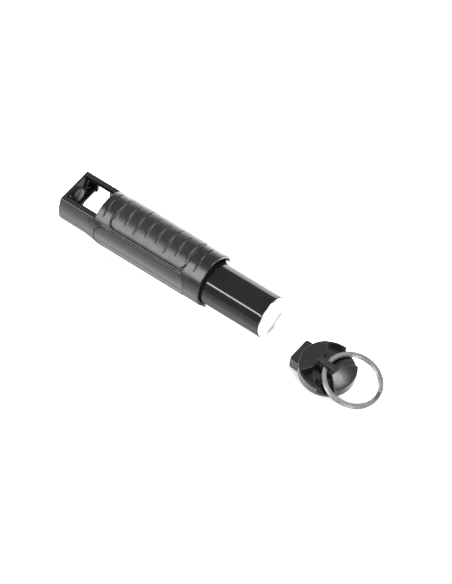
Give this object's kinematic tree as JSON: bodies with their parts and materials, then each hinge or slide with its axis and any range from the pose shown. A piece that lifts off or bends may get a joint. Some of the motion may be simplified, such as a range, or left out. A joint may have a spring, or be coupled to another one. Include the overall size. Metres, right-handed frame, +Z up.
{
  "type": "keychain spray can holder",
  "caption": "Keychain holder for a small spray can: tubular grip housing with thumb window, can drawn part way out, loose bayonet cap with split ring.",
  "frame": {"origin": "middle of the plan box, on the table the pieces lie on", "axes": "+X from the housing's head end along its axis towards the cap, +Z up, the head's flat top facing up"},
  "size_m": [0.1814, 0.0326, 0.0273],
  "materials": {
    "housing_plastic": "black moulded plastic, semi-gloss",
    "grip_plastic": "black grip surface, satin",
    "panel_plastic": "black, smooth and glossier than the shell",
    "boss_plastic": "light grey moulded plastic",
    "can_lacquer": "gloss black lacquer",
    "can_metal": "bare bright metal",
    "ferrule_metal": "bright",
    "gasket_rubber": "matt black",
    "valve_plastic": "natural white acetal",
    "tube_plastic": "natural polyethylene",
    "spring_steel": "drawn wire",
    "button_plastic": "red moulded plastic",
    "nozzle_brass": "turned",
    "cap_plastic": "black moulded plastic, semi-gloss",
    "plug_plastic": "black moulded plastic",
    "cushion_foam": "dark grey closed-cell foam",
    "ring_steel": "nickel-plated steel, satin"
  },
  "bodies": {
    "housing": {"housing_shell": "housing_plastic", "grip_pad": "grip_plastic", "finger_panel_near": "panel_plastic", "finger_panel_far": "panel_plastic", "nose_boss": "boss_plastic"},
    "can": {"can_body": "can_lacquer", "can_base": "can_metal", "valve_cup": "ferrule_metal", "cup_gasket": "gasket_rubber", "valve_housing": "valve_plastic", "stem_gasket": "gasket_rubber", "dip_tube": "tube_plastic", "valve_spring": "spring_steel"},
    "actuator": {"valve_stem": "valve_plastic", "actuator_button": "button_plastic", "nozzle_insert": "nozzle_brass"},
    "cap": {"cap_cover": "cap_plastic", "key_bar": "cap_plastic", "bayonet_plug": "plug_plastic", "cap_seal": "gasket_rubber", "can_cushion": "cushion_foam"},
    "key_ring": {"split_ring": "ring_steel"}
  },
  "joints": [
    {"name": "can_slide", "type": "slide", "parent": "housing", "child": "can", "axis": [1, 0, 0], "range_m": [-0.0378, 0.004]},
    {"name": "button_press", "type": "slide", "parent": "can", "child": "actuator", "axis": [1, 0, 0], "range_m": [0, 0.001], "stiffness_N_per_m": 4000, "springref_m": -0.0015, "deforming": ["valve_spring"]},
    {"name": "cap_pull", "type": "slide", "parent": "housing", "child": "cap", "axis": [1, 0, 0], "range_m": [-0.01, 0.04]},
    {"name": "ring_swing", "type": "hinge", "parent": "cap", "child": "key_ring", "pos_m": [0.06325, -0.00227, 0.0092], "axis": [0.225, -0.9744, 0], "range_deg": [0, 125]}
  ]
}
